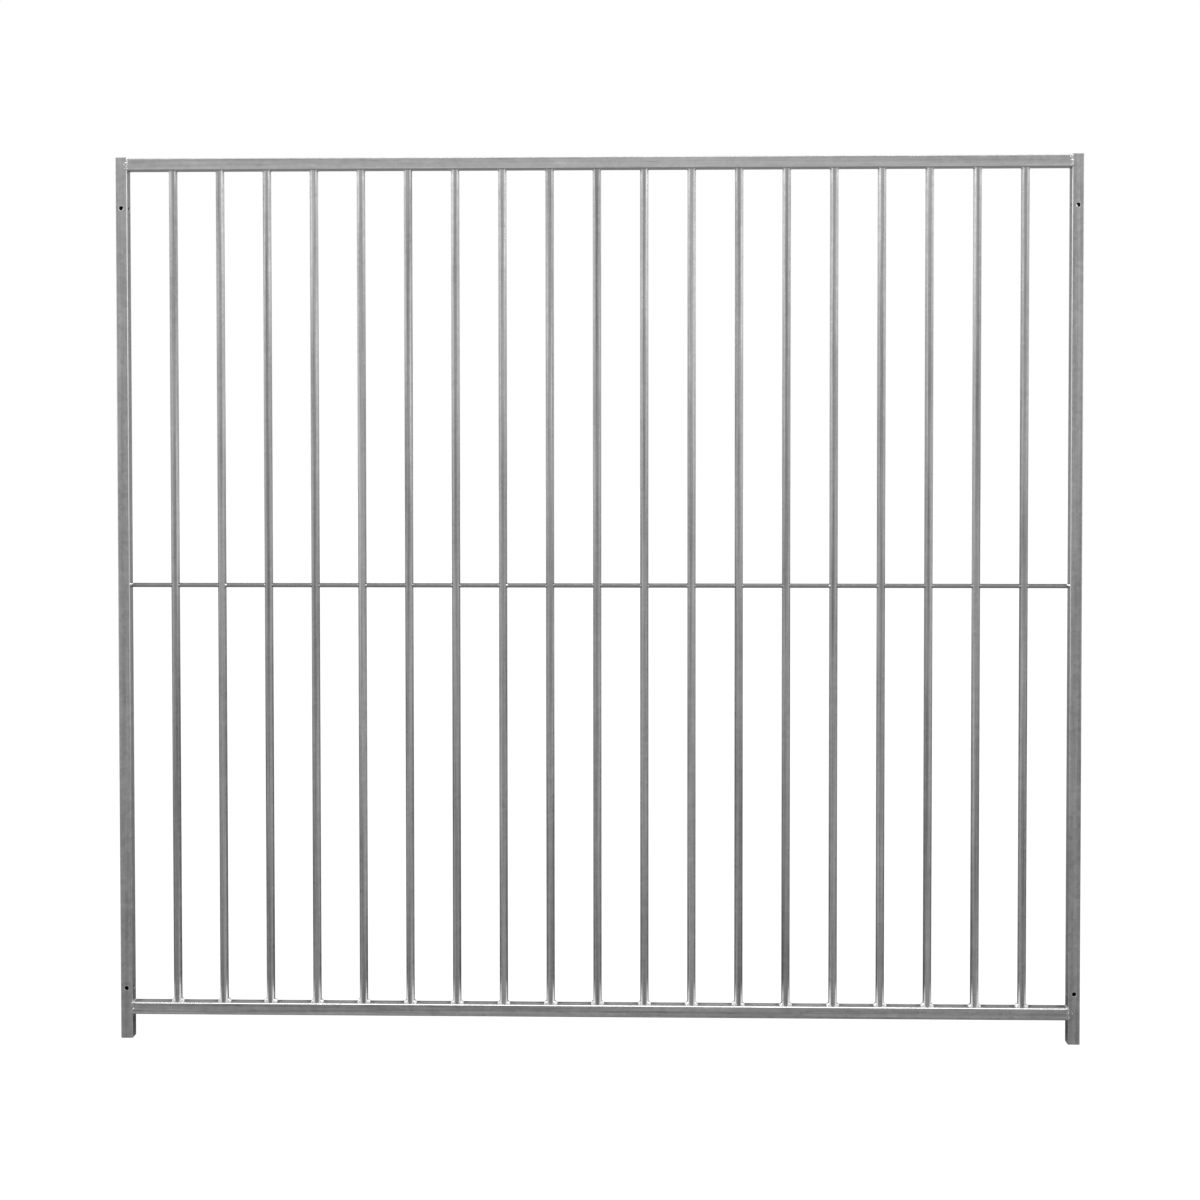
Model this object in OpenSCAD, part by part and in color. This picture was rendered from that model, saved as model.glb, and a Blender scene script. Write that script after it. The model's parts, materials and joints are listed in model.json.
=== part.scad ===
// Galvanised steel bar panel: two square posts, two square rails, a row of
// round upright bars, one thin tie rod threaded through the bars, and welds.
// Frame: X across the panel, Y through it (front at -Y), Z up.
// Origin: on the ground under the middle of the panel.

/* [Frame] */
// Overall width, outer face of one post to outer face of the other
panel_w = 2000; // [1960:1:2050]
// Overall height of the posts
panel_h = 1840; // [1600:5:2200]
// Outside width of the square section of the posts and rails
box_w = 25; // [24:0.5:30]
// Wall thickness of the square section
box_wall = 2; // [1.5:0.25:3]
// Outside corner radius of the square section
box_r = 2.5; // [2:0.25:3.5]
// How far the top rail sits below the ends of the posts
rail_drop = 2; // [2:0.5:10]
// Clear height of the legs under the bottom rail
leg_h = 50; // [20:5:90]

/* [Bars] */
// Outside diameter of each upright bar
bar_d = 17.2; // [15:0.1:18]
// Wall thickness of each upright bar
bar_wall = 1.5; // [1:0.25:2.5]
// Distance between the axes of neighbouring bars
bar_pitch = 98; // [96:0.5:99]

/* [Tie rod] */
// Diameter of the tie rod
tie_d = 9; // [6:0.5:9.5]
// Height of the tie rod's axis above the ground
tie_z = 951; // [300:1:1400]
// Clearance round the tie rod in each drilled bar, on the radius
tie_play = 0.3; // [0.2:0.05:0.5]

/* [Bolt holes] */
// Diameter of the holes that join one panel to the next
bolt_d = 9; // [6.5:0.5:11]
// Distance from each end of a post to the hole nearest it
bolt_inset = 105; // [100:1:200]

/* [Welds] */
// Leg length of the fillet round the foot and the head of a bar
bar_leg = 4.5; // [2.5:0.25:5]
// Half of the angle that each of those fillets covers
bar_arc = 42; // [25:1:45]
// Leg length of the fillet between a post and a rail
rail_leg = 4; // [3:0.25:5]
// Radius of a tack weld on the tie rod
tack_r = 3.4; // [2.8:0.1:3.6]

/* [Hidden] */
$fn = 48;

bar_n = 19;                                  // upright bars
post_x = panel_w / 2 - box_w / 2;            // axis of a post
joint_x = panel_w / 2 - box_w;               // inner face of a post
rail_len = 2 * joint_x;                      // length of a rail
bot_z = leg_h + box_w / 2;                   // axis of the bottom rail
top_z = panel_h - rail_drop - box_w / 2;     // axis of the top rail
bar_z0 = leg_h + box_w;                      // foot of a bar
bar_z1 = panel_h - rail_drop - box_w;        // head of a bar
hole_zs = [bolt_inset, panel_h - bolt_inset];
steel = [0.55, 0.55, 0.55];
steel_light = [0.62, 0.62, 0.62];
steel_dark = [0.46, 0.46, 0.46];
zinc = [0.82, 0.82, 0.82];

function bar_x(i) = (i - (bar_n + 1) / 2) * bar_pitch;

// Solid square prism with rounded long edges, along Z from 0 to h.
module prism(w, r, h) {
    a = w / 2 - r;
    translate([-a, -w / 2, 0]) cube([2 * a, w, h]);
    translate([-w / 2, -a, 0]) cube([w, 2 * a, h]);
    for (x = [-a, a], y = [-a, a])
        translate([x, y, 0]) cylinder(r = r, h = h);
}

// Square tube along Z from 0 to h.
module box_tube(h) {
    difference() {
        prism(box_w, box_r, h);
        translate([0, 0, -1])
            prism(box_w - 2 * box_wall, max(box_r - box_wall, 0.5), h + 2);
    }
}

// A post: drilled through front to back and side to side near both ends.
module post() {
    difference() {
        box_tube(panel_h);
        for (z = hole_zs) translate([0, 0, z]) {
            rotate([90, 0, 0])
                cylinder(d = bolt_d, h = box_w + 2, center = true);
            rotate([0, 90, 0])
                cylinder(d = bolt_d, h = box_w + 2, center = true);
        }
    }
}

module left_post() color(steel) translate([-post_x, 0, 0]) post();
module right_post() color(steel) translate([post_x, 0, 0]) post();

// A rail: square tube along X, cut square, butted between the posts.
module rail(z)
    translate([-joint_x, 0, z]) rotate([0, 90, 0]) box_tube(rail_len);

module top_rail() color(steel_light) rail(top_z);
module bottom_rail() color(steel_dark) rail(bot_z);

// Upright bar i: round tube, cross-drilled for the tie rod.
module bar(i) color(steel) translate([bar_x(i), 0, 0]) difference() {
    translate([0, 0, bar_z0]) cylinder(d = bar_d, h = bar_z1 - bar_z0);
    translate([0, 0, bar_z0 - 1])
        cylinder(d = bar_d - 2 * bar_wall, h = bar_z1 - bar_z0 + 2);
    translate([0, 0, tie_z]) rotate([0, 90, 0])
        cylinder(r = tie_d / 2 + tie_play, h = bar_d + 2, center = true);
}

// Tie rod: one solid round rod from post to post through every bar.
module tie_rod() color(steel_dark)
    translate([-joint_x, 0, tie_z]) rotate([0, 90, 0])
        cylinder(d = tie_d, h = rail_len);

// Weld of the right-hand end of a rail with its axis at z. The beads run
// round the rail's end, and top_leg is the leg of the one on its top face.
module rail_weld(z, top_leg) {
    difference() {
        union() {
            for (s = [-1, 1])
                translate([joint_x + 0.8, s * (box_w / 2 - 1.2), z - box_w / 2 + 0.8])
                    cylinder(r = 2.4, h = box_w - 1.6);
            translate([joint_x, 0, z - box_w / 2]) rotate([90, 0, 0])
                cylinder(r = rail_leg, h = box_w - 3, center = true);
            translate([joint_x, 0, z + box_w / 2]) rotate([90, 0, 0])
                cylinder(r = top_leg, h = box_w - 3, center = true);
        }
        translate([post_x, 0, z - box_w]) prism(box_w, box_r, 2 * box_w);
        translate([joint_x - box_w, 0, z]) rotate([0, 90, 0])
            prism(box_w, box_r, box_w);
    }
}

module weld_top_right() color(zinc) rail_weld(top_z, rail_drop);
module weld_top_left() color(zinc) mirror([1, 0, 0]) rail_weld(top_z, rail_drop);
module weld_bottom_right() color(zinc) rail_weld(bot_z, rail_leg);
module weld_bottom_left() color(zinc) mirror([1, 0, 0]) rail_weld(bot_z, rail_leg);

// Two fillets, to the left and to the right of a bar standing on z = 0.
module bar_fillets() for (side = [0, 180])
    rotate([0, 0, side - bar_arc]) rotate_extrude(angle = 2 * bar_arc)
        translate([bar_d / 2, 0]) intersection() {
            circle(r = bar_leg);
            square(bar_leg);
        }

module bar_foot_welds() color(zinc)
    for (i = [1:bar_n]) translate([bar_x(i), 0, bar_z0]) bar_fillets();

module bar_head_welds() color(zinc)
    for (i = [1:bar_n]) translate([bar_x(i), 0, bar_z1])
        mirror([0, 0, 1]) bar_fillets();

// Tack welds of the tie rod: one on each side of every bar, and one at each
// post, all towards the front.
module tie_tack_welds() color(zinc) {
    for (i = [1:bar_n], s = [-1, 1]) difference() {
        translate([bar_x(i) + s * (bar_d / 2 + 0.2), -tie_d / 2 + 0.8, tie_z])
            rotate([0, 0, s > 0 ? 0 : 180]) sphere(r = tack_r);
        translate([bar_x(i), 0, tie_z - 12]) cylinder(d = bar_d, h = 24);
        translate([bar_x(i) - 16, 0, tie_z]) rotate([0, 90, 0])
            cylinder(d = tie_d, h = 32);
    }
    for (s = [-1, 1]) difference() {
        translate([s * joint_x, -tie_d / 2 + 0.8, tie_z])
            rotate([0, 0, s > 0 ? 180 : 0]) sphere(r = tack_r);
        translate([s * post_x - box_w / 2, -box_w, tie_z - 12])
            cube([box_w, 2 * box_w, 24]);
        translate([s * joint_x - 16, 0, tie_z]) rotate([0, 90, 0])
            cylinder(d = tie_d, h = 32);
    }
}

left_post();
right_post();
top_rail();
bottom_rail();
bar(1);  // bar_01
bar(2);  // bar_02
bar(3);  // bar_03
bar(4);  // bar_04
bar(5);  // bar_05
bar(6);  // bar_06
bar(7);  // bar_07
bar(8);  // bar_08
bar(9);  // bar_09
bar(10);  // bar_10
bar(11);  // bar_11
bar(12);  // bar_12
bar(13);  // bar_13
bar(14);  // bar_14
bar(15);  // bar_15
bar(16);  // bar_16
bar(17);  // bar_17
bar(18);  // bar_18
bar(19);  // bar_19
tie_rod();
weld_top_left();
weld_top_right();
weld_bottom_left();
weld_bottom_right();
bar_head_welds();
bar_foot_welds();
tie_tack_welds();
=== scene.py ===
import json
import math
import random

import bmesh
import bpy
from mathutils import Matrix, Vector, noise


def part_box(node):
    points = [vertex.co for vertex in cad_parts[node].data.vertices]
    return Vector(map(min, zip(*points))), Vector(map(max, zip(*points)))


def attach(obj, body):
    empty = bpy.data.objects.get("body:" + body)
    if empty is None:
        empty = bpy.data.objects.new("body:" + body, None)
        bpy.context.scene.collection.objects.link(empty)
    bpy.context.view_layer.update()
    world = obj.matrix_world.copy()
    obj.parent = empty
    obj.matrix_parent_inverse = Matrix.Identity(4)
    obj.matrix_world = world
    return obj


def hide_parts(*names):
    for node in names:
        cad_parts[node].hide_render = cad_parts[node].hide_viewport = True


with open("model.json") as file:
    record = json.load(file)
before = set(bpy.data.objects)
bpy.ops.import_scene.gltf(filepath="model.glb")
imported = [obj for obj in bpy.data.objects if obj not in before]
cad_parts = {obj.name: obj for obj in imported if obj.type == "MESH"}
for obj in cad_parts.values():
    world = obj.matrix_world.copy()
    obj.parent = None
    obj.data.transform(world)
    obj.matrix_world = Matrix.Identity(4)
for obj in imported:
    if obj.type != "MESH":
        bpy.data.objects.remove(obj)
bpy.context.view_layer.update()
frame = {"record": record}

rng = random.Random(41)
MM = 0.001

# ---------------------------------------------------------------- positions
lp_lo, lp_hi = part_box("left_post")
rp_lo, rp_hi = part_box("right_post")
tr_lo, tr_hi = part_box("top_rail")
br_lo, br_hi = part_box("bottom_rail")
tie_lo, tie_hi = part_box("tie_rod")
BARS = ["bar_%02d" % i for i in range(1, 20)]
BAR_X = [(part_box(n)[0].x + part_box(n)[1].x) / 2 for n in BARS]
BAR_R = (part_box(BARS[0])[1].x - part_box(BARS[0])[0].x) / 2
BOX = lp_hi.x - lp_lo.x                     # outside width of the square section
HALF = BOX / 2
BOX_R = 2.5 * MM                            # its outside corner radius
WALL = 2 * MM
H = lp_hi.z                                 # height of the posts
FOOT, HEAD = br_hi.z, tr_lo.z               # ends of the upright bars
JOINT = rp_lo.x                             # inner face of the right post
TIE_Z = (tie_lo.z + tie_hi.z) / 2
TIE_R = (tie_hi.z - tie_lo.z) / 2
PITCH_X = 0.098
POST_X = (rp_lo.x + rp_hi.x) / 2


def bolts_of(record):
    """Radius and heights of the bolt holes, from the stated bolt pattern."""
    for m in record["mounts"]:
        if m["name"] == "face_bolts":
            half = m["dims"]["spacing_y_mm"] * MM / 2
            return m["dims"]["hole_r_mm"] * MM, (m["pos_m"][2] - half, m["pos_m"][2] + half)
    return 4.5 * MM, (0.105, H - 0.105)


HOLE_R, HOLE_Z = bolts_of(frame["record"])

# ---------------------------------------------------------------- mesh tools


def make_object(name, verts, faces):
    me = bpy.data.meshes.new(name)
    me.from_pydata([tuple(map(float, v)) for v in verts], [], [tuple(map(int, f)) for f in faces])
    me.validate()
    me.update()
    ob = bpy.data.objects.new(name, me)
    bpy.context.scene.collection.objects.link(ob)
    return ob


def baked(ob):
    """Applies the modifiers of ob to its mesh."""
    bpy.context.view_layer.update()
    dg = bpy.context.evaluated_depsgraph_get()
    me = bpy.data.meshes.new_from_object(ob.evaluated_get(dg), preserve_all_data_layers=True, depsgraph=dg)
    ob.modifiers.clear()
    old = ob.data
    ob.data = me
    me.name = ob.name
    bpy.data.meshes.remove(old)
    return ob


def outward(ob):
    bm = bmesh.new()
    bm.from_mesh(ob.data)
    bmesh.ops.remove_doubles(bm, verts=bm.verts, dist=1e-7)
    bmesh.ops.recalc_face_normals(bm, faces=bm.faces)
    bm.to_mesh(ob.data)
    bm.free()
    return ob


def smooth(ob, angle=35):
    for p in ob.data.polygons:
        p.use_smooth = True
    ob.data.set_sharp_from_angle(angle=math.radians(angle))
    return ob


def square_profile(half, r, n):
    """Rounded square, counter-clockwise."""
    a = half - r
    pts = []
    for k, (sx, sy) in enumerate(((1, 1), (-1, 1), (-1, -1), (1, -1))):
        for j in range(n + 1):
            t = math.radians(90 * (k + j / n))
            pts.append((sx * a + r * math.cos(t), sy * a + r * math.sin(t)))
    return pts


def round_profile(r, n):
    return [(r * math.cos(2 * math.pi * j / n), r * math.sin(2 * math.pi * j / n)) for j in range(n)]


def tube_mesh(outer, inner, stations):
    """A closed tube along Z, with its outer and inner loops at each station."""
    n = len(outer)
    verts, faces = [], []
    for z in stations:
        verts += [(x, y, z) for x, y in outer]
    base = len(verts)
    for z in stations:
        verts += [(x, y, z) for x, y in inner]
    last = len(stations) - 1
    for s in range(last):
        for j in range(n):
            k = (j + 1) % n
            faces.append((s * n + j, s * n + k, (s + 1) * n + k, (s + 1) * n + j))
            faces.append((base + s * n + k, base + s * n + j, base + (s + 1) * n + j, base + (s + 1) * n + k))
    for j in range(n):
        k = (j + 1) % n
        faces.append((k, j, base + j, base + k))
        faces.append((last * n + j, last * n + k, base + last * n + k, base + last * n + j))
    return verts, faces


def rod_mesh(r, length, n, bevel=0.0004):
    """A solid round rod along Z with eased ends."""
    rings = [(0.0, r - bevel), (bevel * 0.3, r - bevel * 0.3), (bevel, r)]
    steps = [i / 40 for i in range(1, 40)]
    rings += [(bevel + (length - 2 * bevel) * s, r) for s in steps]
    rings += [(length - bevel, r), (length - bevel * 0.3, r - bevel * 0.3), (length, r - bevel)]
    verts = [(rr * math.cos(2 * math.pi * j / n), rr * math.sin(2 * math.pi * j / n), z) for z, rr in rings for j in range(n)]
    faces = []
    for s in range(len(rings) - 1):
        for j in range(n):
            k = (j + 1) % n
            faces.append((s * n + j, s * n + k, (s + 1) * n + k, (s + 1) * n + j))
    faces.append(tuple(reversed(range(n))))
    faces.append(tuple((len(rings) - 1) * n + j for j in range(n)))
    return verts, faces


def drill(ob, cutters):
    """Cuts every cutter out of ob and applies it."""
    for c in cutters:
        m = ob.modifiers.new("drill", "BOOLEAN")
        m.operation, m.solver, m.object = "DIFFERENCE", "EXACT", c
    baked(ob)
    for c in cutters:
        me = c.data
        bpy.data.objects.remove(c)
        bpy.data.meshes.remove(me)
    return ob


def ease(ob, width, segments=2, angle=40):
    m = ob.modifiers.new("ease", "BEVEL")
    m.limit_method, m.angle_limit = "ANGLE", math.radians(angle)
    m.width, m.segments = width, segments
    m.use_clamp_overlap = True
    baked(ob)
    smooth(ob, 50)
    m = ob.modifiers.new("normals", "WEIGHTED_NORMAL")
    m.keep_sharp, m.weight, m.mode = True, 50, "FACE_AREA"
    baked(ob)
    return ob


def cylinder_cutter(r, length, axis, at, n=48):
    verts = [(r * math.cos(2 * math.pi * j / n), r * math.sin(2 * math.pi * j / n), z) for z in (-length / 2, length / 2) for j in range(n)]
    faces = [(j, (j + 1) % n, n + (j + 1) % n, n + j) for j in range(n)]
    faces += [tuple(reversed(range(n))), tuple(range(n, 2 * n))]
    ob = make_object("cutter", verts, faces)
    turn = {"X": Matrix.Rotation(math.radians(90), 4, "Y"), "Y": Matrix.Rotation(math.radians(90), 4, "X")}[axis]
    ob.data.transform(Matrix.Translation(at) @ turn)
    return ob


# ---------------------------------------------------------------- materials


class Net:
    """A small helper to wire shader nodes."""

    def __init__(self, name, world=False):
        if world:
            self.owner = bpy.data.worlds.new(name)
        else:
            self.owner = bpy.data.materials.new(name)
        self.owner.use_nodes = True
        self.tree = self.owner.node_tree
        self.tree.nodes.clear()

    def add(self, kind, **props):
        n = self.tree.nodes.new(kind)
        for k, v in props.items():
            setattr(n, k, v)
        return n

    def put(self, node, socket, value):
        s = node.inputs[socket]
        if isinstance(value, bpy.types.NodeSocket):
            self.tree.links.new(value, s)
        else:
            s.default_value = value

    def math(self, op, a, b=None, c=None, clamp=False):
        n = self.add("ShaderNodeMath", operation=op, use_clamp=clamp)
        self.put(n, 0, a)
        if b is not None:
            self.put(n, 1, b)
        if c is not None:
            self.put(n, 2, c)
        return n.outputs[0]

    def span(self, value, a, b, c, d, kind="LINEAR"):
        n = self.add("ShaderNodeMapRange", interpolation_type=kind, clamp=True)
        for i, v in enumerate((value, a, b, c, d)):
            self.put(n, i, v)
        return n.outputs[0]

    def noise(self, coords, scale, detail=2.0, rough=0.5, distort=0.0):
        n = self.add("ShaderNodeTexNoise")
        self.put(n, "Vector", coords)
        self.put(n, "Scale", scale)
        self.put(n, "Detail", detail)
        self.put(n, "Roughness", rough)
        self.put(n, "Distortion", distort)
        return n.outputs["Fac"]

    def stretch(self, coords, scale, shift=(0, 0, 0)):
        n = self.add("ShaderNodeMapping")
        self.put(n, "Vector", coords)
        self.put(n, "Scale", scale)
        self.put(n, "Location", shift)
        return n.outputs[0]

    def grey(self, value, tint=(1.0, 1.0, 1.0)):
        n = self.add("ShaderNodeCombineColor")
        for i in range(3):
            self.put(n, i, self.math("MULTIPLY", value, tint[i]) if tint[i] != 1.0 else value)
        return n.outputs[0]


def galvanised(name, along, base, rough, streak=0.06, spangle=0.035, cloud=0.05, smear=0.0, tone=0.0,
               painted_end_streaks=None, painted_lower_sheen=None, painted_rim_highlight=None, edge=None, under=None, rings=None, painted_top_shade=None,
               dark_by_feet_and_top_shade=None, shade=None, seed=0.0):
    """Hot-dip zinc on drawn tube: faint spangle, streaks along the tube, clouds,
    and a fine orange-peel bump. along is the tube's axis. glow is a painted
    reflection: how much lighter and less metallic the flanks of an upright bar
    are painted beside the welds at both ends. run is (height, amount): a painted
    sheen that makes a rail lighter below its middle. worn is a painted highlight
    on the upper rounded edges of a rail, edge the same painted highlight on the
    long edges of a post, and under a painted lightening of the underside of a
    rail.
    rings is (x, amount): painted highlights round the rims of the bolt holes of
    the posts at x and -x. smear is for short dashes, tone for the difference
    between tubes, and painted_top_shade for painted shade on a rod, darker above and
    lighter below. scorch darkens a rail's top face beside the foot of each bar,
    on its rear half, and paints shade across that face, darker at the back and
    lighter at the front. shade is (low, high): painted shade that darkens the
    zinc's reflections at a glancing angle, low down more than high up."""
    net = Net(name)
    co = net.add("ShaderNodeTexCoord").outputs["Object"]
    geo = net.add("ShaderNodeNewGeometry")
    fine = (230.0, 230.0, 230.0)
    stretched = {"X": (3.2, 260.0, 260.0), "Z": (260.0, 260.0, 3.2)}[along]
    wide = {"X": (1.3, 90.0, 90.0), "Z": (90.0, 90.0, 1.3)}[along]
    lines = net.noise(net.stretch(co, stretched, (seed, seed * 2, seed * 3)), 1.0, 3.0, 0.6)
    bands = net.noise(net.stretch(co, wide, (seed * 5, seed, 2.0)), 1.0, 2.0, 0.5, 0.4)
    cloudy = net.noise(co, 7.0, 3.0, 0.55)
    blot = net.noise(co, 38.0, 3.0, 0.6, 0.6)
    warp = net.noise(co, 60.0, 2.0, 0.5)
    vor = net.add("ShaderNodeTexVoronoi", feature="F1")
    shift = net.add("ShaderNodeVectorMath", operation="ADD")
    wv = net.add("ShaderNodeCombineXYZ")
    for i in range(3):
        net.put(wv, i, net.math("MULTIPLY", warp, 0.012))
    net.put(shift, 0, co)
    net.put(shift, 1, wv.outputs[0])
    net.put(vor, "Vector", shift.outputs[0])
    net.put(vor, "Scale", 115.0)
    cell = net.add("ShaderNodeSeparateColor")
    net.put(cell, 0, vor.outputs["Color"])
    cell_a, cell_b = cell.outputs[0], cell.outputs[1]
    value = net.math("MULTIPLY_ADD", net.math("SUBTRACT", lines, 0.5), streak * 2, base)
    value = net.math("MULTIPLY_ADD", net.math("SUBTRACT", bands, 0.5), streak * 2.4, value)
    value = net.math("MULTIPLY_ADD", net.math("SUBTRACT", cell_a, 0.5), spangle * 2, value)
    value = net.math("MULTIPLY_ADD", net.math("SUBTRACT", cloudy, 0.5), cloud * 2, value)
    value = net.math("MULTIPLY_ADD", net.math("SUBTRACT", blot, 0.5), cloud * 1.2, value)
    r = net.math("MULTIPLY_ADD", net.math("SUBTRACT", cell_b, 0.5), 0.10, rough)
    r = net.math("MULTIPLY_ADD", net.math("SUBTRACT", lines, 0.5), 0.12, r)
    r = net.math("MULTIPLY_ADD", net.math("SUBTRACT", blot, 0.5), 0.16, r)
    z = net.add("ShaderNodeSeparateXYZ")
    net.put(z, 0, co)
    nrm = net.add("ShaderNodeSeparateXYZ")
    net.put(nrm, 0, geo.outputs["Normal"])
    dash = net.noise(net.stretch(co, {"X": (17.0, 150.0, 150.0), "Z": (170.0, 170.0, 5.0)}[along], (seed * 7, seed, 1.0)), 1.0, 3.0, 0.6, 0.3)
    if smear:
        dark = net.span(dash, 0.56, 0.70, 0.0, 1.0, "SMOOTHSTEP")
        pale = net.span(dash, 0.30, 0.43, 1.0, 0.0, "SMOOTHSTEP")
        value = net.math("MULTIPLY_ADD", dark, -smear, value)
        value = net.math("MULTIPLY_ADD", pale, smear * 0.8, value)
        r = net.math("MULTIPLY_ADD", pale, -0.07, r)
    if tone:
        each = net.noise(net.stretch(co, (23.0, 0.0, 0.35), (seed, 0.0, 0.0)), 1.0, 1.0, 0.5)
        value = net.math("MULTIPLY_ADD", net.math("SUBTRACT", each, 0.5), tone * 2, value)
    # Painted highlight: the long rounded edges of a post are painted lighter, more so high up.
    if edge:
        small = net.math("MINIMUM", net.math("ABSOLUTE", nrm.outputs[0]), net.math("ABSOLUTE", nrm.outputs[1]))
        rim = net.math("MULTIPLY", net.span(small, 0.20, 0.50, 0.0, 1.0, "SMOOTHSTEP"), net.span(z.outputs[2], 0.45, 1.05, 0.15, 1.0, "SMOOTHSTEP"))
        value = net.math("MULTIPLY_ADD", rim, edge, value)
    # Painted light: the underside of a rail is painted lighter.
    if under:
        value = net.math("MULTIPLY_ADD", net.span(nrm.outputs[2], -0.8, -0.4, 1.0, 0.0, "SMOOTHSTEP"), under, value)
    # Painted shade: the rod is painted darker on top and lighter underneath.
    if painted_top_shade:
        value = net.math("MULTIPLY_ADD", nrm.outputs[2], -painted_top_shade, value)
    # Painted highlight: a lighter ring round the rim of each bolt hole, on every face that has one.
    if rings:
        ax = net.math("SUBTRACT", net.math("ABSOLUTE", z.outputs[0]), rings[0])
        az = net.math("SUBTRACT", net.math("ABSOLUTE", net.math("SUBTRACT", z.outputs[2], H / 2)), (HOLE_Z[1] - HOLE_Z[0]) / 2)
        for across in (ax, z.outputs[1]):
            d = net.math("SQRT", net.math("ADD", net.math("MULTIPLY", across, across), net.math("MULTIPLY", az, az)))
            painted_hole_rim = net.math("MULTIPLY", net.span(d, HOLE_R - 0.0006, HOLE_R, 0.0, 1.0, "SMOOTHSTEP"), net.span(d, HOLE_R + 0.0007, HOLE_R + 0.0017, 1.0, 0.0, "SMOOTHSTEP"))
            value = net.math("MULTIPLY_ADD", painted_hole_rim, rings[1], value)
    # Painted sheen: a rail is painted lighter below its middle, with a ragged border.
    if painted_lower_sheen:
        ragged = net.math("MULTIPLY_ADD", net.noise(net.stretch(co, (9.0, 30.0, 30.0)), 1.0, 2.0, 0.5), 0.008, z.outputs[2])
        low = net.span(ragged, painted_lower_sheen[0] - 0.004, painted_lower_sheen[0] + 0.008, 1.0, 0.0, "SMOOTHSTEP")
        value = net.math("MULTIPLY_ADD", low, painted_lower_sheen[1], value)
    calm = None
    # Painted highlight: the upper rounded edges of a rail are painted lighter and made smoother, and the bump is calmed
    # on them.
    if painted_rim_highlight:
        up = net.span(nrm.outputs[2], 0.25, 0.75, 0.0, 1.0, "SMOOTHSTEP")
        flat = net.span(nrm.outputs[2], 0.95, 0.995, 1.0, 0.0, "SMOOTHSTEP")
        rim = net.math("MULTIPLY", up, flat)
        broken = net.span(net.noise(net.stretch(co, (9.0, 60.0, 60.0)), 1.0, 3.0, 0.6), 0.25, 0.5, 0.75, 1.0)
        rim = net.math("MULTIPLY", rim, broken)
        value = net.math("MULTIPLY_ADD", rim, painted_rim_highlight, value)
        r = net.math("MULTIPLY_ADD", rim, -0.07, r)
        calm = net.span(nrm.outputs[2], 0.05, 0.40, 1.0, 0.0, "SMOOTHSTEP")
    # A rail's top face is painted darker beside the foot of each bar, on its rear half.
    if dark_by_feet_and_top_shade:
        near = net.math("ABSOLUTE", net.math("SUBTRACT", net.math("FRACT", net.math("MULTIPLY_ADD", z.outputs[0], 1.0 / PITCH_X, 100.5)), 0.5))
        far = net.math("MULTIPLY_ADD", net.noise(net.stretch(co, (70.0, 90.0, 90.0)), 1.0, 2.0, 0.5), 0.22, near)
        darkened_by_feet = net.math("MULTIPLY", net.span(far, 0.26, 0.40, 1.0, 0.0, "SMOOTHSTEP"), net.span(z.outputs[1], -0.007, 0.001, 0.0, 1.0, "SMOOTHSTEP"))
        darkened_by_feet = net.math("MULTIPLY", darkened_by_feet, net.span(nrm.outputs[2], 0.5, 0.9, 0.0, 1.0, "SMOOTHSTEP"))
        value = net.math("MULTIPLY_ADD", darkened_by_feet, -dark_by_feet_and_top_shade, value)
        # Painted shade on the top face: darker at the back, lighter at the front.
        painted_front_to_back_shade = net.math("MULTIPLY", net.span(z.outputs[1], -0.010, 0.011, 0.10, -0.10), net.span(nrm.outputs[2], 0.5, 0.9, 0.0, 1.0, "SMOOTHSTEP"))
        value = net.math("ADD", value, painted_front_to_back_shade)
    # Painted reflection: the flanks of each bar near both ends are painted lighter and made less metallic, in place of
    # the bright welds they would reflect.
    if painted_end_streaks:
        flank = net.math("MULTIPLY", net.span(net.math("ABSOLUTE", nrm.outputs[0]), 0.42, 0.66, 0.0, 1.0, "SMOOTHSTEP"), net.span(net.math("ABSOLUTE", nrm.outputs[0]), 0.80, 0.93, 1.0, 0.0, "SMOOTHSTEP"))
        uneven = net.span(net.noise(net.stretch(co, (160.0, 160.0, 30.0)), 1.0, 2.0, 0.5), 0.3, 0.7, 0.45, 1.0)
        low = net.span(z.outputs[2], FOOT + 0.001, FOOT + 0.060, 1.0, 0.0, "SMOOTHSTEP")
        high = net.span(z.outputs[2], HEAD - 0.045, HEAD - 0.001, 0.0, 0.5, "SMOOTHSTEP")
        near = net.math("MULTIPLY", net.math("MULTIPLY", net.math("ADD", low, high), flank), uneven)
        value = net.math("MULTIPLY_ADD", near, painted_end_streaks, value)
        painted_streak_metallic = net.math("MULTIPLY_ADD", near, -0.9, 1.0)
    peel = net.noise(co, 420.0, 2.0, 0.55)
    grain = net.noise(co, 1500.0, 2.0, 0.6)
    height = net.math("MULTIPLY_ADD", peel, 0.7, net.math("MULTIPLY", grain, 0.25))
    height = net.math("MULTIPLY_ADD", vor.outputs["Distance"], 25.0 * 0.012, height)
    height = net.math("MULTIPLY_ADD", lines, 0.6, height)
    if calm is not None:
        height = net.math("MULTIPLY", height, calm)
    bump = net.add("ShaderNodeBump")
    net.put(bump, "Strength", 0.35)
    net.put(bump, "Distance", 0.00012)
    net.put(bump, "Height", height)
    sh = net.add("ShaderNodeBsdfPrincipled")
    net.put(sh, "Base Color", net.grey(net.math("MINIMUM", net.math("MAXIMUM", value, 0.08), 0.95)))
    net.put(sh, "Metallic", painted_streak_metallic if painted_end_streaks else 1.0)
    # Painted shade: the zinc's reflections at a glancing angle are darkened, low down more than high up.
    if shade:
        if shade[0] == shade[1]:
            net.put(sh, "Specular Tint", (shade[0], shade[0], shade[0], 1.0))
        else:
            net.put(sh, "Specular Tint", net.grey(net.span(z.outputs[2], 0.2, 1.7, shade[0], shade[1], "SMOOTHSTEP")))
    net.put(sh, "Roughness", net.math("MINIMUM", net.math("MAXIMUM", r, 0.16), 0.8))
    net.put(sh, "Normal", bump.outputs[0])
    out = net.add("ShaderNodeOutputMaterial")
    net.put(out, 0, sh.outputs[0])
    return net.owner


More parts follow.
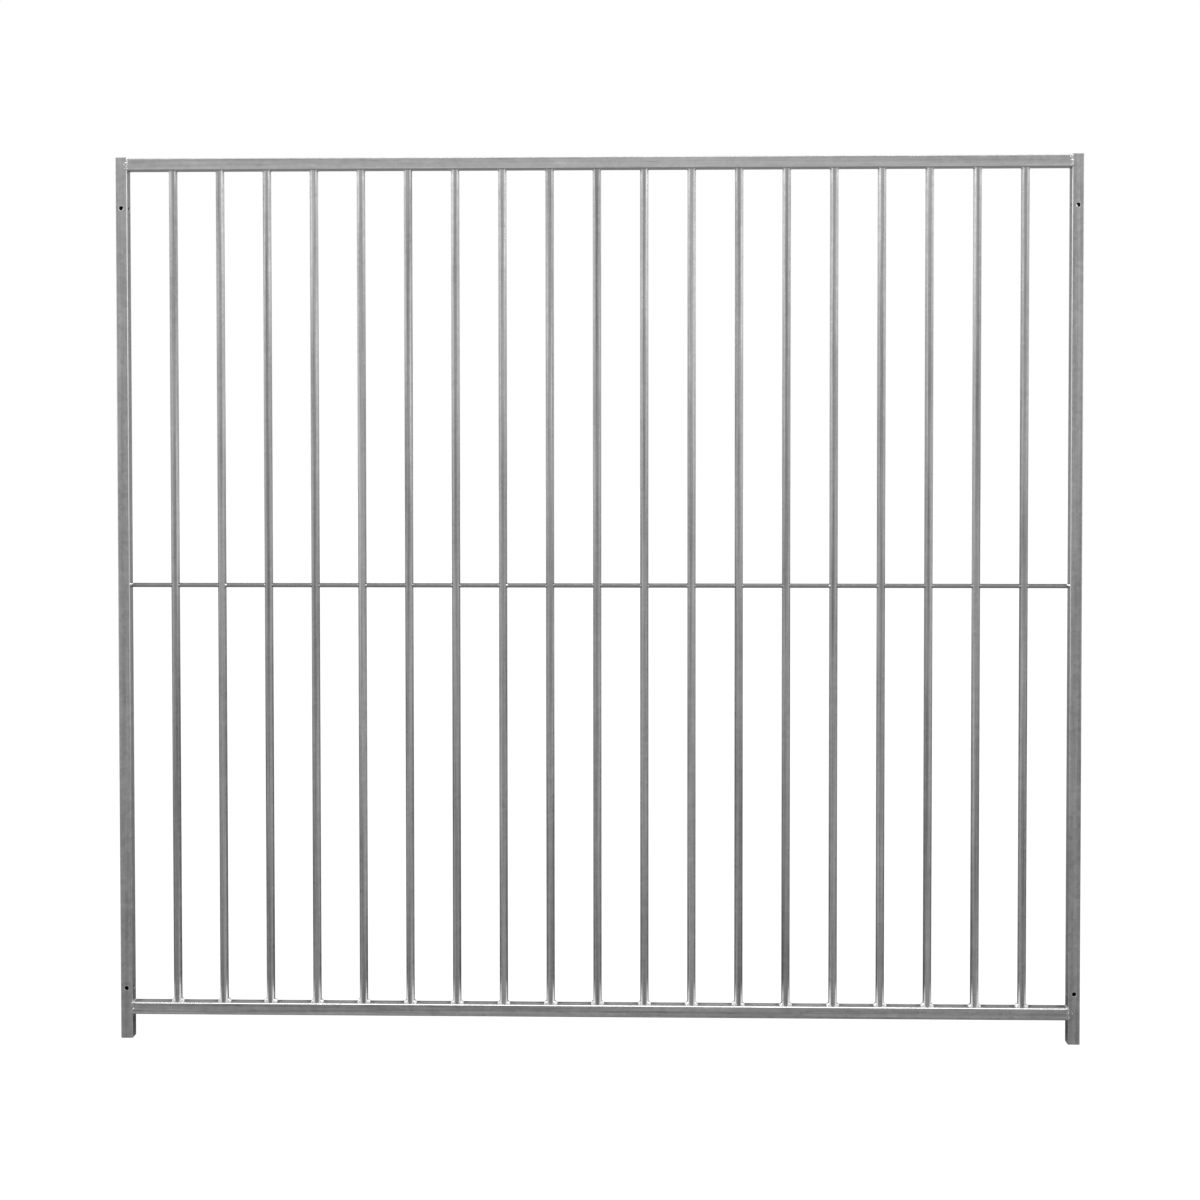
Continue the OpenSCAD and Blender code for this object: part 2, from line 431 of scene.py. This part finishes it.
def weld_metal(name, base, rough):
    """Zinc over weld metal: bright, uneven, with darker pits."""
    net = Net(name)
    co = net.add("ShaderNodeTexCoord").outputs["Object"]
    a = net.noise(co, 260.0, 3.0, 0.6, 0.4)
    b = net.noise(co, 900.0, 3.0, 0.65)
    pits = net.span(net.noise(co, 620.0, 2.0, 0.5), 0.30, 0.42, 0.0, 1.0, "SMOOTHSTEP")
    value = net.math("MULTIPLY_ADD", net.math("SUBTRACT", a, 0.5), 0.30, base)
    value = net.math("MULTIPLY", value, net.span(pits, 0.0, 1.0, 0.65, 1.0))
    r = net.math("MULTIPLY_ADD", net.math("SUBTRACT", b, 0.5), 0.3, rough)
    bump = net.add("ShaderNodeBump")
    net.put(bump, "Strength", 0.6)
    net.put(bump, "Distance", 0.00035)
    net.put(bump, "Height", net.math("ADD", a, net.math("MULTIPLY", b, 0.5)))
    sh = net.add("ShaderNodeBsdfPrincipled")
    net.put(sh, "Base Color", net.grey(net.math("MINIMUM", net.math("MAXIMUM", value, 0.1), 0.97)))
    net.put(sh, "Metallic", 1.0)
    net.put(sh, "Roughness", net.math("MINIMUM", net.math("MAXIMUM", r, 0.15), 0.7))
    net.put(sh, "Normal", bump.outputs[0])
    out = net.add("ShaderNodeOutputMaterial")
    net.put(out, 0, sh.outputs[0])
    return net.owner


def dull_and_shaded_inside(name):
    """The bore of a tube: dull zinc, its colour darkened as painted shade inside the tube."""
    net = Net(name)
    co = net.add("ShaderNodeTexCoord").outputs["Object"]
    value = net.span(net.noise(co, 90.0, 4.0, 0.6), 0.3, 0.7, 0.05, 0.12)
    bump = net.add("ShaderNodeBump")
    net.put(bump, "Strength", 0.5)
    net.put(bump, "Distance", 0.0002)
    net.put(bump, "Height", net.noise(co, 500.0, 3.0, 0.6))
    sh = net.add("ShaderNodeBsdfPrincipled")
    net.put(sh, "Base Color", net.grey(value))
    net.put(sh, "Metallic", 0.6)
    net.put(sh, "Roughness", 0.75)
    net.put(sh, "Normal", bump.outputs[0])
    out = net.add("ShaderNodeOutputMaterial")
    net.put(out, 0, sh.outputs[0])
    return net.owner


M_POST = galvanised("galvanised_post", "Z", 0.57, 0.37, streak=0.17, spangle=0.050, cloud=0.085, smear=0.075, edge=0.62, rings=(POST_X, 0.30), seed=1.3)
M_TOP = galvanised("galvanised_top_rail", "X", 0.615, 0.37, streak=0.15, spangle=0.030, cloud=0.070, smear=0.075, painted_lower_sheen=((tr_lo.z + tr_hi.z) / 2, 0.10), under=0.42, seed=4.1)
M_LOW = galvanised("galvanised_low_rail", "X", 0.56, 0.37, streak=0.26, spangle=0.030, cloud=0.080, smear=0.12, painted_lower_sheen=((br_lo.z + br_hi.z) / 2, 0.09), painted_rim_highlight=0.45, under=0.10, dark_by_feet_and_top_shade=0.26, seed=5.2)
M_BAR = galvanised("galvanised_bar", "Z", 0.565, 0.35, streak=0.34, spangle=0.025, cloud=0.055, smear=0.030, tone=0.10, painted_end_streaks=0.75, shade=(0.15, 1.0), seed=7.7)
M_ROD = galvanised("galvanised_rod", "X", 0.48, 0.50, streak=0.030, spangle=0.015, cloud=0.030, painted_top_shade=0.26, shade=(0.15, 0.15), seed=2.9)
# weld_zinc is a near-white copy of weld_bead; its whiteness is partly a painted highlight on the welds that get it.
M_WELD = weld_metal("weld_zinc", 0.96, 0.24)
M_BEAD = weld_metal("weld_bead", 0.58, 0.44)
M_INSIDE = dull_and_shaded_inside("zinc_inside")


def finish_piece(ob, material, slot, *nodes):
    ob.data.materials.clear()
    ob.data.materials.append(material)
    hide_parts(*nodes)
    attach(ob, "root")
    return ob


# ---------------------------------------------------------------- tubes
SEG = 8
outer = square_profile(HALF, BOX_R, SEG)
inner = square_profile(HALF - WALL, 0.5 * MM, SEG)


def make_post(name, node, x):
    zs = [0.0]
    for z in HOLE_Z:
        zs += [z - 0.02, z + 0.02]
    zs += [0.5, 0.9, 1.3, H]
    verts, faces = tube_mesh(outer, inner, sorted(set(zs)))
    ob = outward(make_object(name, verts, faces))
    cutters = []
    for z in HOLE_Z:
        cutters.append(cylinder_cutter(HOLE_R, BOX + 0.01, "X", Vector((0, 0, z))))
        cutters.append(cylinder_cutter(HOLE_R, BOX + 0.01, "Y", Vector((0, 0, z))))
    drill(ob, cutters)
    ob.data.transform(Matrix.Translation((x, 0, 0)))
    ease(ob, 0.45 * MM, 3)
    finish_piece(ob, M_POST, "galvanised_section", node)
    ob.data.materials.append(M_INSIDE)
    reach = HALF - WALL + 0.06 * MM
    for f in ob.data.polygons:
        if abs(f.center.x - x) < reach and abs(f.center.y) < reach:
            f.material_index = 1
    return ob


make_post("post_left", "left_post", -POST_X)
make_post("post_right", "right_post", POST_X)


def make_rail(name, node, z, material):
    stations = [2 * JOINT * i / 30 for i in range(31)]
    verts, faces = tube_mesh(outer, inner, stations)
    ob = outward(make_object(name, verts, faces))
    ob.data.transform(Matrix.Translation((-JOINT, 0, z)) @ Matrix.Rotation(math.radians(90), 4, "Y"))
    ease(ob, 0.3 * MM, 2)
    return finish_piece(ob, material, "galvanised_section", node)


make_rail("rail_top", "top_rail", (tr_lo.z + tr_hi.z) / 2, M_TOP)
make_rail("rail_bottom", "bottom_rail", (br_lo.z + br_hi.z) / 2, M_LOW)

# The upright bars: one drilled tube is made, and each bar is its own copy.
N_BAR = 64
bar_outer = round_profile(BAR_R, N_BAR)
bar_inner = round_profile(BAR_R - 1.5 * MM, N_BAR)
stations = [FOOT + (HEAD - FOOT) * i / 24 for i in range(25)] + [TIE_Z - 0.012, TIE_Z + 0.012]
verts, faces = tube_mesh(bar_outer, bar_inner, sorted(stations))
first = outward(make_object("upright_first", verts, faces))
drill(first, [cylinder_cutter(TIE_R + 0.3 * MM, 0.03, "X", Vector((0, 0, TIE_Z)))])
ease(first, 0.25 * MM, 2)
for i, (node, x) in enumerate(zip(BARS, BAR_X)):
    me = first.data.copy()
    me.transform(Matrix.Translation((x, 0, 0)))
    ob = bpy.data.objects.new("upright_%02d" % (i + 1), me)
    bpy.context.scene.collection.objects.link(ob)
    finish_piece(ob, M_BAR, "galvanised_bar", node)
bpy.data.objects.remove(first)

verts, faces = rod_mesh(TIE_R, 2 * JOINT, 40)
rod = outward(make_object("tie_bar", verts, faces))
rod.data.transform(Matrix.Translation((-JOINT, 0, TIE_Z)) @ Matrix.Rotation(math.radians(90), 4, "Y"))
smooth(rod, 50)
finish_piece(rod, M_ROD, "galvanised_rod", "tie_rod")

# ---------------------------------------------------------------- welds
SECTION = 14


def wob(p, scale, seed):
    return noise.noise(Vector((p[0] * scale + seed, p[1] * scale - seed, p[2] * scale + 2 * seed)))


class Soup:
    """Collects closed shells into one mesh."""

    def __init__(self):
        self.verts, self.faces, self.dull = [], [], []

    def shell(self, verts, faces, dull=False):
        base = len(self.verts)
        self.verts += verts
        self.faces += [tuple(base + i for i in f) for f in faces]
        self.dull += [dull] * len(faces)

    def piece(self, name, slot, node):
        ob = make_object(name, self.verts, self.faces)
        if len(ob.data.polygons) != len(self.dull):
            raise RuntimeError("a face of %s was dropped" % name)
        for f, dull in zip(ob.data.polygons, self.dull):
            f.material_index = int(dull)
        finish_piece(ob, M_WELD, slot, node)
        if any(self.dull):
            ob.data.materials.append(M_BEAD)
            for f, dull in zip(ob.data.polygons, self.dull):
                f.material_index = int(dull)
        outward(ob)
        return smooth(ob, 80)


def rings_shell(rings):
    """A closed shell from a row of equal closed loops, capped at both ends."""
    n = len(rings[0])
    verts = [tuple(v) for r in rings for v in r]
    faces = []
    for s in range(len(rings) - 1):
        for j in range(n):
            k = (j + 1) % n
            faces.append((s * n + j, s * n + k, (s + 1) * n + k, (s + 1) * n + j))
    for s, order in ((0, 1), (len(rings) - 1, -1)):
        c = sum((Vector(v) for v in rings[s]), Vector()) / n
        verts.append(tuple(c))
        ci = len(verts) - 1
        for j in range(n):
            k = (j + 1) % n
            faces.append((ci, s * n + k, s * n + j) if order == 1 else (ci, s * n + j, s * n + k))
    return verts, faces


def fillet(path, leg_u, leg_v, seed, round_by=0.5, ripple=0.10, pitch=1.9 * MM, bury=0.7 * MM, lump=0.0):
    """A fillet bead. path(t) gives the corner point and the two unit vectors
    that run away from the corner along the two faces it joins."""
    pts = [path(i / 60)[0] for i in range(61)]
    length = sum((pts[i + 1] - pts[i]).length for i in range(60))
    steps = max(14, int(length / (0.45 * MM)))
    rings = []
    for i in range(steps + 1):
        t = i / steps
        p, u, v = path(t)
        s = t * length
        end = min(t, 1 - t) * length
        k = min(1.0, end / (1.8 * MM) + 0.02)
        taper = math.sqrt(max(0.0, 1 - (1 - k) ** 2))
        lu = leg_u * taper * (1 + 0.16 * wob(p, 240, seed) + lump * math.sin(math.pi * t))
        lv = leg_v * taper * (1 + 0.16 * wob(p, 260, seed + 9) + lump * math.sin(math.pi * t))
        ring = []
        for j in range(SECTION):
            a = math.pi / 2 * j / (SECTION - 1)
            ex, ey = math.cos(a), math.sin(a)
            w = j / (SECTION - 1)
            lx, ly = 1 - w, w
            x = lx * (1 - round_by) + ex * round_by
            y = ly * (1 - round_by) + ey * round_by
            mid = math.sin(math.pi * w)
            crest = math.sin(2 * math.pi * (s / pitch + 0.35 * (w - 0.5) ** 2 * 4) + seed)
            grow = 1 + ripple * crest * mid
            ring.append(p + u * (lu * x * grow) + v * (lv * y * grow))
        ring[0] = ring[0] - v * bury
        ring[-1] = ring[-1] - u * bury
        ring.append(p - (u + v) * bury)
        rings.append(ring)
    return rings_shell(rings)


def ridge(path, half, high, seed, pitch=1.9 * MM, bury=1.2 * MM):
    """A bead on a flush seam. path(t) gives the point, the unit vector across
    the seam, and the outward normal."""
    pts = [path(i / 60)[0] for i in range(61)]
    length = sum((pts[i + 1] - pts[i]).length for i in range(60))
    steps = max(14, int(length / (0.45 * MM)))
    rings = []
    for i in range(steps + 1):
        t = i / steps
        p, u, n = path(t)
        s = t * length
        k = min(1.0, min(t, 1 - t) * length / (2.2 * MM) + 0.02)
        taper = math.sqrt(max(0.0, 1 - (1 - k) ** 2))
        w = half * taper * (1 + 0.20 * wob(p, 230, seed))
        h = high * taper * (1 + 0.28 * wob(p, 250, seed + 5))
        ring = []
        for j in range(SECTION):
            a = math.pi * j / (SECTION - 1)
            c = math.cos(a)
            crest = math.sin(2 * math.pi * (s / pitch + 0.45 * c * c) + seed)
            ring.append(p + u * (w * c) + n * (h * math.sin(a) * (1 + 0.16 * crest)))
        ring[0] = ring[0] - n * 0.3 * MM
        ring[-1] = ring[-1] - n * 0.3 * MM
        ring.append(p - u * (w * 0.7) - n * bury)
        ring.append(p + u * (w * 0.7) - n * bury)
        rings.append(ring)
    return rings_shell(rings)


ICO = bmesh.new()
bmesh.ops.create_icosphere(ICO, subdivisions=3, radius=1.0)
ICO_V = [v.co.copy() for v in ICO.verts]
ICO_F = [tuple(v.index for v in f.verts) for f in ICO.faces]
ICO.free()
ICO = bmesh.new()
bmesh.ops.create_icosphere(ICO, subdivisions=2, radius=1.0)
ICO2_V = [v.co.copy() for v in ICO.verts]
ICO2_F = [tuple(v.index for v in f.verts) for f in ICO.faces]
ICO.free()


def lump(at, size, seed, rough=0.16, fine=False):
    """An uneven drop of metal with the given half sizes."""
    vs, fs = (ICO_V, ICO_F) if not fine else (ICO2_V, ICO2_F)
    out = []
    for v in vs:
        k = 1 + rough * noise.noise(v * 1.6 + Vector((seed, 2 * seed, -seed))) + 0.5 * rough * noise.noise(v * 4.1 + Vector((-seed, seed, 3 * seed)))
        out.append(tuple(Vector(at) + Vector((v.x * size[0], v.y * size[1], v.z * size[2])) * k))
    return out, fs


def bar_beads(name, node, z, up):
    """The two fillets at every bar's end. up is 1 at the foot and -1 at the head."""
    soup = Soup()
    for i, x in enumerate(BAR_X):
        for side in (0, 1):
            seed = 3.7 * i + 11.3 * side + (50 if up < 0 else 0)
            mid = math.radians(180 * side) + rng.uniform(-0.10, 0.10)
            arc = math.radians(rng.uniform(36, 46))
            leg = rng.uniform(4.1, 4.9) * MM if up > 0 else rng.uniform(1.3, 1.8) * MM

            def path(t, x=x, mid=mid, arc=arc):
                a = mid + arc * (2 * t - 1)
                d = Vector((math.cos(a), math.sin(a), 0))
                return Vector((x, 0, z)) + d * BAR_R, d, Vector((0, 0, up))

            soup.shell(*fillet(path, leg, leg * rng.uniform(1.0, 1.35), seed, round_by=0.55, lump=0.18))
            for _ in range(2):
                a = mid + rng.uniform(-0.6, 0.6)
                d = Vector((math.cos(a), math.sin(a), 0))
                at = Vector((x, 0, z)) + d * (BAR_R + leg * rng.uniform(0.35, 0.6)) + Vector((0, 0, up * leg * rng.uniform(0.25, 0.45)))
                r = rng.uniform(1.3, 2.1) * MM * (1.0 if up > 0 else 0.4)
                soup.shell(*lump(at, (r, r, r * 0.9), seed + _))
    return soup.piece(name, "weld_zinc", node)


bar_beads("foot_beads", "bar_foot_welds", FOOT, 1)
bar_beads("head_beads", "bar_head_welds", HEAD, -1)


def corner(name, node, sx, z, top_leg, low_leg, drops, busy):
    """The beads round one end of a rail, where it meets a post. drops are the
    bright drops on the front: distance towards the post, height, half size."""
    soup = Soup()
    x0 = sx * JOINT
    flat = HALF - BOX_R
    seed = 17.0 * sx + 31.0 * z
    along = Vector((-sx, 0, 0))                       # away from the post, along the rail
    for sy in (-1, 1):

        def seam(t, sy=sy):
            zz = z - HALF + 0.6 * MM + (BOX - 1.2 * MM) * t
            sway = 0.5 * MM * math.sin(9 * t + seed)
            return Vector((x0 + sx * 0.5 * MM + sway, sy * HALF, zz)), Vector((1, 0, 0)), Vector((0, sy, 0))

        soup.shell(*ridge(seam, 2.3 * MM, 0.75 * MM, seed + sy), dull=True)
    if low_leg:

        def under(t):
            return Vector((x0, -flat + 2 * flat * t, z - HALF)), along, Vector((0, 0, -1))

        soup.shell(*fillet(under, low_leg, low_leg * 1.1, seed + 3, round_by=0.45), dull=True)
    if top_leg:

        def over(t):
            return Vector((x0, -flat + 2 * flat * t, z + HALF)), along, Vector((0, 0, 1))

        soup.shell(*fillet(over, top_leg * 1.5 if top_leg < 0.002 else top_leg, top_leg, seed + 7, round_by=0.45), dull=True)
    for dx, dz, r in drops:
        at = Vector((x0 + sx * dx * MM, -HALF - 0.1 * MM, dz * MM))
        soup.shell(*lump(at, (r * MM, min(r * 0.55, 1.1) * MM, r * 1.05 * MM), seed + dz))
    for dx, dz, r in drops[:2]:
        at = Vector((x0 + sx * dx * MM, HALF + 0.1 * MM, (2 * z / MM - dz + 3) * MM))
        soup.shell(*lump(at, (r * MM, min(r * 0.55, 1.1) * MM, r * 1.05 * MM), seed + dz + 5))
    for _ in range(busy):
        sy = rng.choice((-1, 1))
        at = Vector((x0 + sx * rng.uniform(-2.5, 9.0) * MM, sy * (HALF - 0.05 * MM), z + rng.uniform(-0.8, 0.8) * HALF))
        r = rng.uniform(0.5, 1.2) * MM
        soup.shell(*lump(at, (r, r * 0.5, r), seed + _), dull=_ % 2 == 0)
    return soup.piece(name, "weld_zinc", node)


zt, zb = (tr_lo.z + tr_hi.z) / 2, (br_lo.z + br_hi.z) / 2
top_gap = H - tr_hi.z - 0.1 * MM
corner("joint_top_left", "weld_top_left", -1, zt, top_gap, 1.3 * MM, [(1.9, 1828.1, 2.7), (0.4, 1836.6, 1.7), (2.0, 1819.6, 1.6), (5.6, 1824.5, 1.2), (5.0, 1816.6, 1.0)], 14)
corner("joint_top_right", "weld_top_right", 1, zt, top_gap, 1.3 * MM, [(0.4, 1825.9, 2.4), (-3.9, 1833.5, 1.5), (0.9, 1818.6, 1.6), (-1.5, 1836.8, 1.3), (-3.0, 1827.0, 1.0)], 12)
corner("joint_bottom_left", "weld_bottom_left", -1, zb, 2.6 * MM, 2.6 * MM, [(-2.2, 74.0, 2.8), (-1.6, 61.2, 2.1), (1.6, 73.6, 1.2)], 8)
corner("joint_bottom_right", "weld_bottom_right", 1, zb, 2.6 * MM, 2.6 * MM, [(-1.6, 73.6, 2.2), (1.0, 65.9, 1.9), (1.8, 56.5, 1.5)], 8)


def tacks():
    """The tacks that hold the tie rod, on the front side of every crossing."""
    soup = Soup()
    for i, x in enumerate(BAR_X):
        for s in (-1, 1):
            # The bright tacks get the near-white weld zinc as a painted highlight; the rest get the dull bead zinc.
            highlit = (i, s) in ((1, 1), (7, 1), (14, -1))       # a few are bright, the rest dull
            r = rng.uniform(2.8, 3.2) * MM if highlit else rng.uniform(1.7, 2.3) * MM
            at = Vector((x + s * (BAR_R - 0.4 * MM), -TIE_R + rng.uniform(-0.2, 0.9) * MM, TIE_Z + rng.uniform(-0.8, 1.2) * MM))
            soup.shell(*lump(at, (r * 0.95, r * 0.85, r), 5.1 * i + s, rough=0.22), dull=not highlit)
            at2 = at + Vector((s * r * 0.5, rng.uniform(-0.2, 0.8) * MM, rng.uniform(-1.0, 1.0) * MM))
            soup.shell(*lump(at2, (r * 0.6, r * 0.55, r * 0.6), 6.3 * i + s, rough=0.2), dull=not highlit)
    for s in (-1, 1):
        r = 3.7 * MM
        at = Vector((s * (JOINT - 0.3 * MM), -TIE_R - 2.6 * MM, TIE_Z + 1.0 * MM))
        soup.shell(*lump(at, (r * 0.95, r * 0.9, r), 91 + s, rough=0.22))
        soup.shell(*lump(at + Vector((-s * 3.4 * MM, 1.6 * MM, 1.6 * MM)), (r * 0.65, r * 0.6, r * 0.5), 93 + s, rough=0.2))
    return soup.piece("rod_tacks", "weld_zinc", "tie_tack_welds")


tacks()

# ---------------------------------------------------------------- floor, light, camera
floor_verts = [(-40, -40, 0), (40, -40, 0), (40, 40, 0), (-40, 40, 0)]
floor = make_object("floor", floor_verts, [(0, 1, 2, 3)])
floor.data.transform(Matrix.Translation((0, 0, -0.0002)))
fnet = Net("pale_floor")
fsh = fnet.add("ShaderNodeBsdfPrincipled")
fco = fnet.add("ShaderNodeTexCoord").outputs["Object"]
fv = fnet.math("MULTIPLY_ADD", fnet.noise(fco, 3.0, 2.0), 0.01, 0.06)
fnet.put(fsh, "Base Color", fnet.grey(fv))
fnet.put(fsh, "Roughness", 0.9)
fnet.put(fsh, "Specular IOR Level", 0.1)
fnet.put(fsh, "Emission Color", (1, 1, 1, 1))
fnet.put(fsh, "Emission Strength", 1.0)
fout = fnet.add("ShaderNodeOutputMaterial")
fnet.put(fout, 0, fsh.outputs[0])
floor.data.materials.append(fnet.owner)
floor.visible_glossy = False

# A dark sheet lies on the floor behind the panel: a painted shadow of the panel on the floor. Only reflections see it.
flag = make_object("flag", [(-0.97, 0.014, 0.0004), (0.97, 0.014, 0.0004), (0.97, 0.30, 0.0004), (-0.97, 0.30, 0.0004)], [(0, 1, 2, 3)])
gnet = Net("dark_cloth")
gsh = gnet.add("ShaderNodeBsdfPrincipled")
gco = gnet.add("ShaderNodeTexCoord").outputs["Object"]
gnet.put(gsh, "Base Color", gnet.grey(gnet.math("MULTIPLY_ADD", gnet.noise(gco, 30.0, 2.0), 0.02, 0.05)))
gnet.put(gsh, "Roughness", 0.95)
gout = gnet.add("ShaderNodeOutputMaterial")
gnet.put(gout, 0, gsh.outputs[0])
flag.data.materials.append(gnet.owner)
flag.visible_camera = flag.visible_diffuse = flag.visible_shadow = False

# The room: grey walls that get lighter with height, darker behind the panel
# than before it, with tall light panels at both sides.
w = Net("studio", world=True)
direction = w.add("ShaderNodeTexCoord").outputs["Generated"]
parts = w.add("ShaderNodeSeparateXYZ")
w.put(parts, 0, direction)


def heights(stops):
    ramp = w.add("ShaderNodeValToRGB")
    ramp.color_ramp.interpolation = "LINEAR"
    els = ramp.color_ramp.elements
    els[0].position, els[1].position = (stops[0][0] + 1) / 2, (stops[-1][0] + 1) / 2
    els[0].color = (stops[0][1],) * 3 + (1,)
    els[1].color = (stops[-1][1],) * 3 + (1,)
    for at, val in stops[1:-1]:
        e = els.new((at + 1) / 2)
        e.color = (val, val, val, 1)
    w.put(ramp, 0, w.math("MULTIPLY_ADD", parts.outputs[2], 0.5, 0.5))
    return ramp.outputs[0]


before = heights([(-1.0, 0.24), (-0.33, 0.29), (-0.21, 0.35), (-0.09, 0.405), (-0.03, 0.45), (0.06, 0.52), (0.16, 0.61), (0.30, 0.64), (0.60, 0.58), (1.0, 0.60)])
behind = heights([(-1.0, 0.14), (-0.29, 0.20), (-0.21, 0.25), (-0.09, 0.32), (0.03, 0.36), (0.14, 0.46), (0.32, 0.34), (0.60, 0.42), (1.0, 0.60)])
turn = w.span(parts.outputs[1], -0.35, 0.55, 0.0, 1.0, "SMOOTHSTEP")
room = w.math("ADD", w.math("MULTIPLY", before, w.math("SUBTRACT", 1.0, turn)), w.math("MULTIPLY", behind, turn))
side = w.span(w.math("ABSOLUTE", parts.outputs[0]), 0.50, 0.92, 0.0, 1.0, "SMOOTHSTEP")
band = w.math("MULTIPLY", w.span(parts.outputs[2], -0.16, 0.19, 0.0, 1.0, "SMOOTHSTEP"), w.span(parts.outputs[2], 0.45, 0.75, 1.0, 0.0, "SMOOTHSTEP"))
light = w.math("MULTIPLY_ADD", w.math("MULTIPLY", side, band), 0.80, room)
bg = w.add("ShaderNodeBackground")
w.put(bg, 0, w.grey(light))
w.put(bg, 1, 1.0)
white = w.add("ShaderNodeBackground")
w.put(white, 0, (1, 1, 1, 1))
w.put(white, 1, 1.0)
pick = w.add("ShaderNodeMixShader")
w.put(pick, 0, w.add("ShaderNodeLightPath").outputs["Is Camera Ray"])
w.put(pick, 1, bg.outputs[0])
w.put(pick, 2, white.outputs[0])
wout = w.add("ShaderNodeOutputWorld")
w.put(wout, 0, pick.outputs[0])
bpy.context.scene.world = w.owner
bpy.context.scene.view_settings.view_transform = "Standard"


def area(name, at, to, sx, sy, power):
    data = bpy.data.lights.new(name, "AREA")
    data.shape, data.size, data.size_y, data.energy = "RECTANGLE", sx, sy, power
    ob = bpy.data.objects.new(name, data)
    bpy.context.scene.collection.objects.link(ob)
    ob.location = at
    ob.rotation_mode = "QUATERNION"
    ob.rotation_quaternion = (Vector(to) - Vector(at)).to_track_quat("-Z", "Y")
    ob.visible_camera = False
    return ob


area("overhead", (0, -0.4, 4.2), (0, 0, 0.6), 3.4, 1.0, 36)

# A long slim light above the front edge, for the welds and the upper edge of
# the bottom rail only, where a highlight is also painted, so that the broad
# faces keep their even tone.
glint = area("glint", (0, -1.15, 2.9), (0, 0, 0.1), 3.9, 1.3, 44)
lit = bpy.data.collections.new("glint_receivers")
for name in ("rail_bottom", "foot_beads", "rod_tacks", "joint_bottom_left", "joint_bottom_right"):
    lit.objects.link(bpy.data.objects[name])
glint.light_linking.receiver_collection = lit
high = area("glint_high", (0, -1.6, 3.2), (0, 0, 1.8), 3.9, 1.2, 34)
lit_high = bpy.data.collections.new("glint_high_receivers")
for name in ("joint_top_left", "joint_top_right"):
    lit_high.objects.link(bpy.data.objects[name])
high.light_linking.receiver_collection = lit_high

# Camera: the place, direction and lens that show the panel as it was seen.
F, CX, CY = 1658.445, 608.7609, 478.3247
YAW, PITCH, ROLL = math.radians(-1.26160355), math.radians(1.26489698), math.radians(0.03808825)
fwd = Vector((math.sin(YAW) * math.cos(PITCH), math.cos(YAW) * math.cos(PITCH), -math.sin(PITCH)))
right = Vector((math.cos(YAW), -math.sin(YAW), 0))
down = fwd.cross(right)
right2 = math.cos(ROLL) * right + math.sin(ROLL) * down
down2 = -math.sin(ROLL) * right + math.cos(ROLL) * down
cam = bpy.data.cameras.new("camera")
cam.sensor_fit, cam.sensor_width = "HORIZONTAL", 36
cam.lens = F / 1200 * 36
cam.shift_x, cam.shift_y = (600 - CX) / 1200, (CY - 600) / 1200
cam.clip_start, cam.clip_end = 0.05, 200
cam_ob = bpy.data.objects.new("camera", cam)
bpy.context.scene.collection.objects.link(cam_ob)
m = Matrix.Identity(4)
for r in range(3):
    m[r][0], m[r][1], m[r][2] = right2[r], -down2[r], -fwd[r]
m.translation = Vector((0.100, lp_lo.y - 3.430, 1.250))
cam_ob.matrix_world = m
bpy.context.scene.camera = cam_ob
